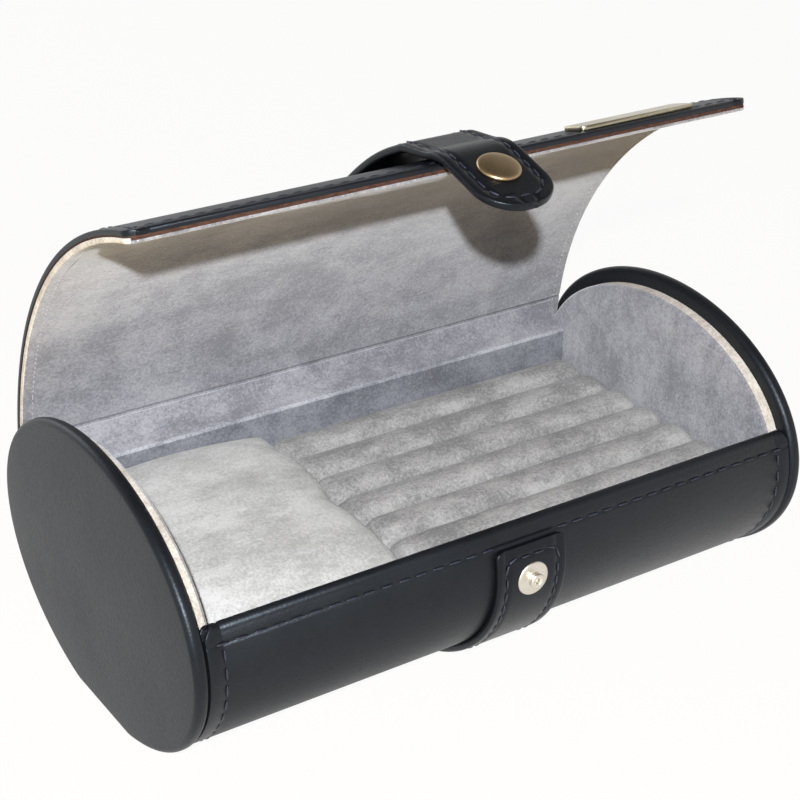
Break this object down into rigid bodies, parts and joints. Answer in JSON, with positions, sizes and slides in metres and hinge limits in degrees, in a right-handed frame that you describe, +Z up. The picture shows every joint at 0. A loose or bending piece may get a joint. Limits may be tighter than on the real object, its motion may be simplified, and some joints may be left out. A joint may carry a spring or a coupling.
{
  "type": "jewelry box",
  "caption": "Oval leather travel jewelry box with end discs, a flexible wrap-over lid with a snap strap, padded ring rolls and a lift-out watch pillow.",
  "frame": {"origin": "middle of the flat that the case stands on", "axes": "+X along the case to the right as seen from the front, -Y to the front, +Z up"},
  "size_m": [0.202, 0.122, 0.1517],
  "materials": {
    "cover_leather": "fine-grained charcoal black, satin",
    "strap_leather": "smooth black, edge-dyed",
    "lining_suede": "cool grey suede nap",
    "pillow_suede": "pale warm grey suede nap",
    "card_board": "raw brown card board",
    "pale_brass": "pale gold plate, brushed",
    "snap_steel": "plain nickel"
  },
  "bodies": {
    "base": {"back_ledge": "card_board", "back_ledge_lining": "lining_suede", "front_strap": "strap_leather", "hinge_roll": "cover_leather", "left_end_board": "card_board", "left_end_inner_board": "card_board", "left_end_leather": "cover_leather", "left_end_lining": "lining_suede", "right_end_board": "card_board", "right_end_inner_board": "card_board", "right_end_leather": "cover_leather", "right_end_lining": "lining_suede", "ring_roll_1": "lining_suede", "ring_roll_2": "lining_suede", "ring_roll_3": "lining_suede", "ring_roll_4": "lining_suede", "ring_roll_5": "lining_suede", "ring_roll_6": "lining_suede", "ring_roll_7": "lining_suede", "ring_tray_board": "card_board", "snap_rivet": "snap_steel", "snap_stud": "snap_steel", "trough_board": "card_board", "trough_leather": "cover_leather", "trough_lining": "lining_suede"},
    "lid_1": {"lid_board_1": "card_board", "lid_leather_1": "cover_leather", "lid_lining_1": "lining_suede"},
    "lid_2": {"lid_board_2": "card_board", "lid_leather_2": "cover_leather", "lid_lining_2": "lining_suede"},
    "lid_3": {"lid_board_3": "card_board", "lid_leather_3": "cover_leather", "lid_lining_3": "lining_suede"},
    "lid_4": {"lid_board_4": "card_board", "lid_leather_4": "cover_leather", "lid_lining_4": "lining_suede", "strap_tail_4": "strap_leather"},
    "lid_5": {"lid_board_5": "card_board", "lid_leather_5": "cover_leather", "lid_lining_5": "lining_suede", "strap_tail_5": "strap_leather"},
    "lid_6": {"lid_board_6": "card_board", "lid_leather_6": "cover_leather", "lid_lining_6": "lining_suede", "strap_tail_6": "strap_leather"},
    "lid_7": {"lid_board_7": "card_board", "lid_leather_7": "cover_leather", "lid_lining_7": "lining_suede", "name_plate": "pale_brass", "name_plate_pins": "pale_brass"},
    "strap": {"snap_cap": "pale_brass", "snap_socket": "snap_steel", "snap_spring": "snap_steel", "strap_backing": "strap_leather", "strap_tab": "strap_leather"},
    "pillow": {"watch_pillow": "pillow_suede"}
  },
  "joints": [
    {"name": "lid_hinge", "type": "hinge", "parent": "base", "child": "lid_1", "pos_m": [0, 0.05554, 0.0485], "axis": [-1, 0, 0], "range_deg": [-23.04, 60]},
    {"name": "lid_bend_2", "type": "hinge", "parent": "lid_1", "child": "lid_2", "pos_m": [0, 0.05379, 0.06338], "axis": [-1, 0, 0], "range_deg": [-14.86, 0]},
    {"name": "lid_bend_3", "type": "hinge", "parent": "lid_2", "child": "lid_3", "pos_m": [0, 0.04783, 0.08349], "axis": [-1, 0, 0], "range_deg": [-8.73, 0.01]},
    {"name": "lid_bend_4", "type": "hinge", "parent": "lid_3", "child": "lid_4", "pos_m": [0, 0.03542, 0.10569], "axis": [-1, 0, 0], "range_deg": [-4.1, 0.01]},
    {"name": "lid_bend_5", "type": "hinge", "parent": "lid_4", "child": "lid_5", "pos_m": [0, 0.01726, 0.1249], "axis": [-1, 0, 0], "range_deg": [-3.12, 0.01]},
    {"name": "lid_bend_6", "type": "hinge", "parent": "lid_5", "child": "lid_6", "pos_m": [0, -0.00107, 0.13698], "axis": [-1, 0, 0], "range_deg": [-6.79, 0.01]},
    {"name": "lid_bend_7", "type": "hinge", "parent": "lid_6", "child": "lid_7", "pos_m": [0, -0.01484, 0.1429], "axis": [-1, 0, 0], "range_deg": [-11.6, 0.01]},
    {"name": "strap_hinge", "type": "hinge", "parent": "lid_7", "child": "strap", "pos_m": [0, -0.01384, 0.14578], "axis": [-1, 0, 0], "range_deg": [0, 45]},
    {"name": "pillow_lift", "type": "slide", "parent": "base", "child": "pillow", "axis": [0, 0, 1], "range_m": [0, 0.015]}
  ],
  "couplings": [
    {"joint": "lid_bend_3", "follows": "lid_bend_2", "ratio": 0.58685},
    {"joint": "lid_bend_4", "follows": "lid_bend_2", "ratio": 0.27551},
    {"joint": "lid_bend_5", "follows": "lid_bend_2", "ratio": 0.20892},
    {"joint": "lid_bend_6", "follows": "lid_bend_2", "ratio": 0.45608},
    {"joint": "lid_bend_7", "follows": "lid_bend_2", "ratio": 0.77995}
  ]
}
